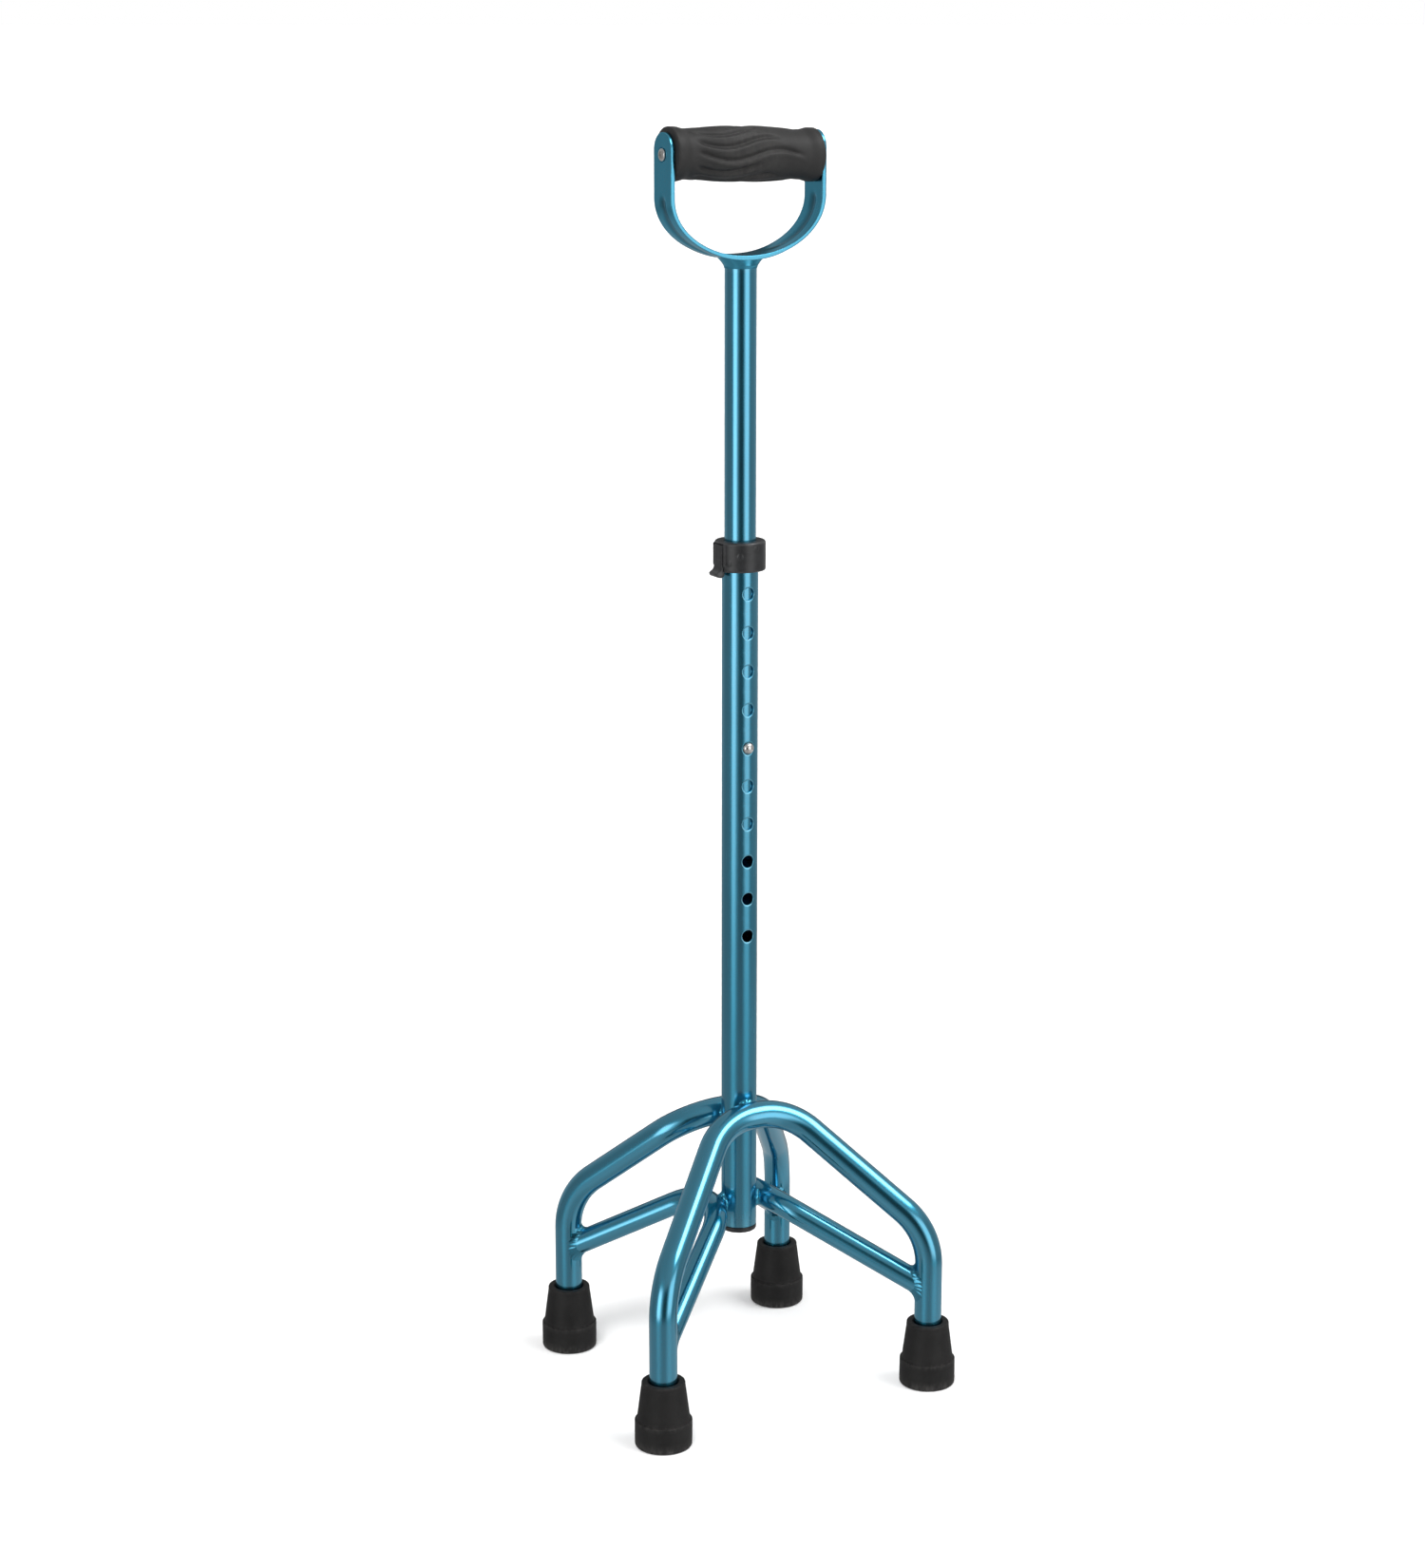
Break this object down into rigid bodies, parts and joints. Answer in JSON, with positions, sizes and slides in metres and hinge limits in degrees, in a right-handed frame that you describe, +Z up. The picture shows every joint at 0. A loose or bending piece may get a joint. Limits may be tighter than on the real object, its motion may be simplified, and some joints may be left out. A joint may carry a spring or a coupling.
{
  "type": "quad walking cane",
  "caption": "Height-adjustable walking cane: D-handle with a moulded grip on a telescoping post, snap button, lever collar and a splayed welded tube base on rubber feet.",
  "frame": {"origin": "On the floor, at the middle of the bounding box: midway between the feet, side to side and front to back. The post's axis stands 5.5 mm towards -Y from it.", "axes": "+Z up along the post. +X along the grip, to the user's right. -Y towards the wider front arch, which is the side with the height holes and the snap button."},
  "size_m": [0.2363, 0.2072, 0.8213],
  "materials": {
    "blue_metal": "gloss, teal-blue anodised and clear-coated aluminium",
    "foot_rubber": "matt moulded black rubber",
    "grip_rubber": "soft matt charcoal moulded grip",
    "black_plastic": "moulded black plastic, light satin",
    "bright_steel": "bright nickel-plated steel",
    "bush_plastic": "natural nylon"
  },
  "bodies": {
    "base": {"outer_post": "blue_metal", "post_end_plug": "black_plastic", "front_arch_tube": "blue_metal", "rear_arch_tube": "blue_metal", "left_brace_tube": "blue_metal", "right_brace_tube": "blue_metal", "front_arch_weld": "blue_metal", "rear_arch_weld": "blue_metal", "brace_post_welds": "blue_metal", "brace_leg_welds": "blue_metal", "foot_front_left": "foot_rubber", "foot_front_right": "foot_rubber", "foot_rear_left": "foot_rubber", "foot_rear_right": "foot_rubber", "foot_washers": "bright_steel", "collar_body": "black_plastic", "collar_bush": "bush_plastic", "lever_pin": "bright_steel"},
    "lever": {"lock_lever": "black_plastic"},
    "upper": {"upper_tube": "blue_metal", "tube_glide": "black_plastic", "snap_spring": "bright_steel", "yoke": "blue_metal", "grip_sleeve": "grip_rubber", "grip_core": "black_plastic", "grip_bolt": "bright_steel", "grip_nut": "bright_steel"},
    "button": {"snap_button": "bright_steel"}
  },
  "joints": [
    {"name": "height_slide", "type": "slide", "parent": "base", "child": "upper", "axis": [0, 0, 1], "range_m": [-0.125, 0.1], "deforming": ["snap_button", "snap_spring"]},
    {"name": "button_press", "type": "slide", "parent": "upper", "child": "button", "axis": [0, 1, 0], "range_m": [0, 0.0042], "stiffness_N_per_m": 1000, "springref_m": -0.001},
    {"name": "lever_hinge", "type": "hinge", "parent": "base", "child": "lever", "pos_m": [-0.0142, -0.0055, 0.5606], "axis": [0, 1, 0], "range_deg": [0, 80]}
  ]
}
